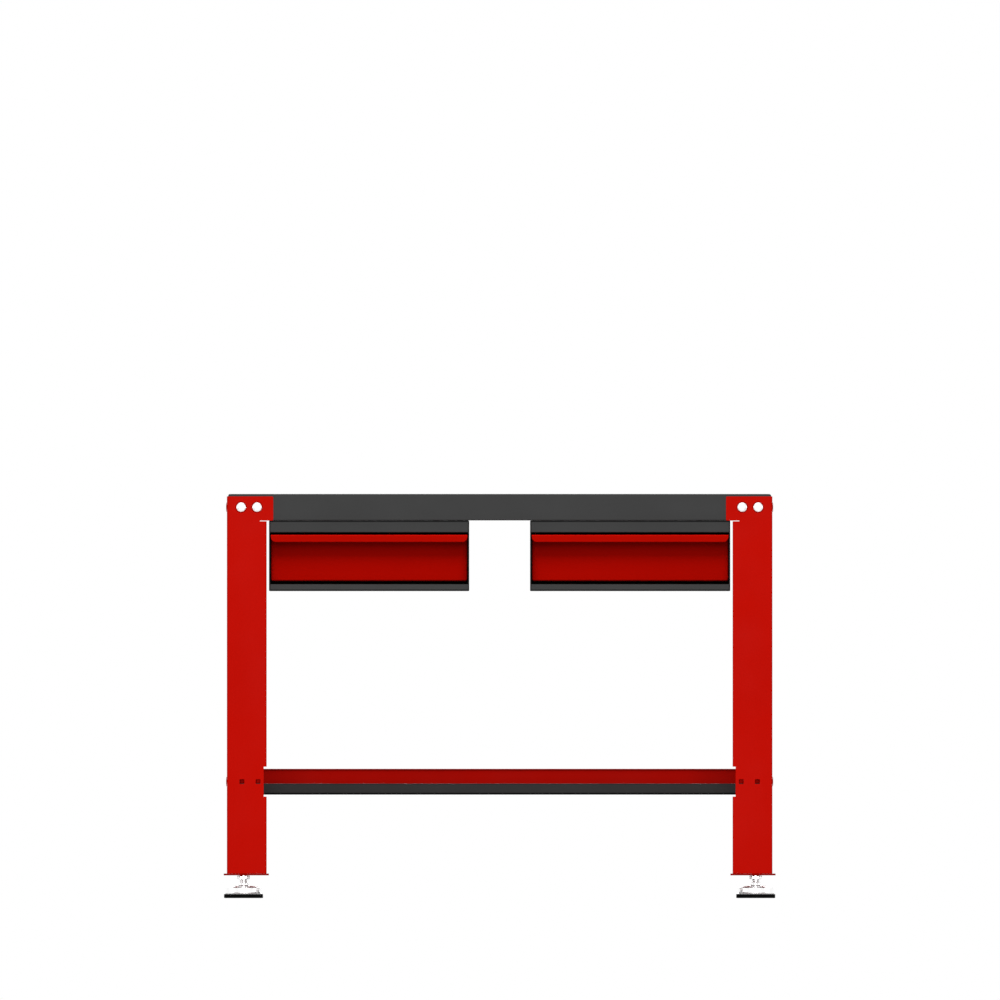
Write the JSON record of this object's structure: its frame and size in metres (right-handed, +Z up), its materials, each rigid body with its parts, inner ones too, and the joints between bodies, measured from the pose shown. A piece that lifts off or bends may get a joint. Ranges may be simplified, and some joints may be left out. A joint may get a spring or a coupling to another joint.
{
  "type": "workbench with drawers",
  "caption": "Folded-steel workbench on levelling feet, with sliding drawers under a steel-clad worktop, bolted angle legs, lower rails and a half-depth shelf.",
  "frame": {"origin": "on the floor, under the centre of the bench", "axes": "+X to the right along the worktop, +Y to the back, +Z up; the drawers open towards -Y"},
  "size_m": [1.214, 0.614, 0.889],
  "materials": {
    "red_powder_coat": "satin powder coat, fine texture",
    "charcoal_powder_coat": "satin powder coat, fine texture",
    "bright_zinc": "bright zinc plate",
    "runner_steel": "zinc-plated cold-rolled strip",
    "black_rubber": "matte moulded rubber",
    "fibreboard": "raw fibreboard"
  },
  "bodies": {
    "frame": {"front_left_leg": "red_powder_coat", "front_left_foot_plate": "red_powder_coat", "front_left_lock_nut": "bright_zinc", "front_left_weld_nut": "red_powder_coat", "front_right_leg": "red_powder_coat", "front_right_foot_plate": "red_powder_coat", "front_right_lock_nut": "bright_zinc", "front_right_weld_nut": "red_powder_coat", "rear_left_leg": "red_powder_coat", "rear_left_foot_plate": "red_powder_coat", "rear_left_lock_nut": "bright_zinc", "rear_left_weld_nut": "red_powder_coat", "rear_right_leg": "red_powder_coat", "rear_right_foot_plate": "red_powder_coat", "rear_right_lock_nut": "bright_zinc", "rear_right_weld_nut": "red_powder_coat", "front_left_outer_bolt": "bright_zinc", "front_left_inner_bolt": "bright_zinc", "front_right_outer_bolt": "bright_zinc", "front_right_inner_bolt": "bright_zinc", "worktop_pan": "charcoal_powder_coat", "worktop_core": "fibreboard", "left_stiffener": "charcoal_powder_coat", "middle_stiffener": "charcoal_powder_coat", "right_stiffener": "charcoal_powder_coat", "left_side_rail": "red_powder_coat", "right_side_rail": "red_powder_coat", "rear_stringer": "red_powder_coat", "lower_shelf": "charcoal_powder_coat", "left_drawer_housing": "charcoal_powder_coat", "left_drawer_left_runner_outer": "runner_steel", "left_drawer_right_runner_outer": "runner_steel", "right_drawer_housing": "charcoal_powder_coat", "right_drawer_left_runner_outer": "runner_steel", "right_drawer_right_runner_outer": "runner_steel"},
    "left_drawer": {"left_drawer_box": "charcoal_powder_coat", "left_drawer_front": "red_powder_coat", "left_drawer_left_runner_inner": "runner_steel", "left_drawer_right_runner_inner": "runner_steel"},
    "left_runners": {"left_drawer_left_runner_middle": "runner_steel", "left_drawer_right_runner_middle": "runner_steel"},
    "right_drawer": {"right_drawer_box": "charcoal_powder_coat", "right_drawer_front": "red_powder_coat", "right_drawer_left_runner_inner": "runner_steel", "right_drawer_right_runner_inner": "runner_steel"},
    "right_runners": {"right_drawer_left_runner_middle": "runner_steel", "right_drawer_right_runner_middle": "runner_steel"},
    "front_left_foot": {"front_left_foot_base": "bright_zinc", "front_left_foot_pad": "black_rubber"},
    "front_left_screw": {"front_left_foot_screw": "bright_zinc"},
    "front_right_foot": {"front_right_foot_base": "bright_zinc", "front_right_foot_pad": "black_rubber"},
    "front_right_screw": {"front_right_foot_screw": "bright_zinc"},
    "rear_left_foot": {"rear_left_foot_base": "bright_zinc", "rear_left_foot_pad": "black_rubber"},
    "rear_left_screw": {"rear_left_foot_screw": "bright_zinc"},
    "rear_right_foot": {"rear_right_foot_base": "bright_zinc", "rear_right_foot_pad": "black_rubber"},
    "rear_right_screw": {"rear_right_foot_screw": "bright_zinc"}
  },
  "joints": [
    {"name": "left_drawer_slide", "type": "slide", "parent": "frame", "child": "left_drawer", "axis": [0, -1, 0], "range_m": [0, 0.45]},
    {"name": "left_runner_slide", "type": "slide", "parent": "frame", "child": "left_runners", "axis": [0, -1, 0], "range_m": [0, 0.225]},
    {"name": "right_drawer_slide", "type": "slide", "parent": "frame", "child": "right_drawer", "axis": [0, -1, 0], "range_m": [0, 0.45]},
    {"name": "right_runner_slide", "type": "slide", "parent": "frame", "child": "right_runners", "axis": [0, -1, 0], "range_m": [0, 0.225]},
    {"name": "front_left_foot_height", "type": "slide", "parent": "frame", "child": "front_left_foot", "axis": [0, 0, -1], "range_m": [-0.008, 0.012]},
    {"name": "front_left_screw_turn", "type": "hinge", "parent": "front_left_foot", "child": "front_left_screw", "pos_m": [-0.5634, -0.2634, 0.06], "axis": [0, 0, 1], "range_deg": [-1440.5, 2160.5]},
    {"name": "front_right_foot_height", "type": "slide", "parent": "frame", "child": "front_right_foot", "axis": [0, 0, -1], "range_m": [-0.008, 0.012]},
    {"name": "front_right_screw_turn", "type": "hinge", "parent": "front_right_foot", "child": "front_right_screw", "pos_m": [0.5634, -0.2634, 0.06], "axis": [0, 0, 1], "range_deg": [-1440.5, 2160.5]},
    {"name": "rear_left_foot_height", "type": "slide", "parent": "frame", "child": "rear_left_foot", "axis": [0, 0, -1], "range_m": [-0.008, 0.012]},
    {"name": "rear_left_screw_turn", "type": "hinge", "parent": "rear_left_foot", "child": "rear_left_screw", "pos_m": [-0.5634, 0.2634, 0.06], "axis": [0, 0, 1], "range_deg": [-1440.5, 2160.5]},
    {"name": "rear_right_foot_height", "type": "slide", "parent": "frame", "child": "rear_right_foot", "axis": [0, 0, -1], "range_m": [-0.008, 0.012]},
    {"name": "rear_right_screw_turn", "type": "hinge", "parent": "rear_right_foot", "child": "rear_right_screw", "pos_m": [0.5634, 0.2634, 0.06], "axis": [0, 0, 1], "range_deg": [-1440.5, 2160.5]}
  ],
  "couplings": [
    {"joint": "left_runner_slide", "follows": "left_drawer_slide", "ratio": 0.5},
    {"joint": "right_runner_slide", "follows": "right_drawer_slide", "ratio": 0.5},
    {"joint": "front_left_screw_turn", "follows": "front_left_foot_height", "rad_per_m": 3141.6},
    {"joint": "front_right_screw_turn", "follows": "front_right_foot_height", "rad_per_m": 3141.6},
    {"joint": "rear_left_screw_turn", "follows": "rear_left_foot_height", "rad_per_m": 3141.6},
    {"joint": "rear_right_screw_turn", "follows": "rear_right_foot_height", "rad_per_m": 3141.6}
  ]
}
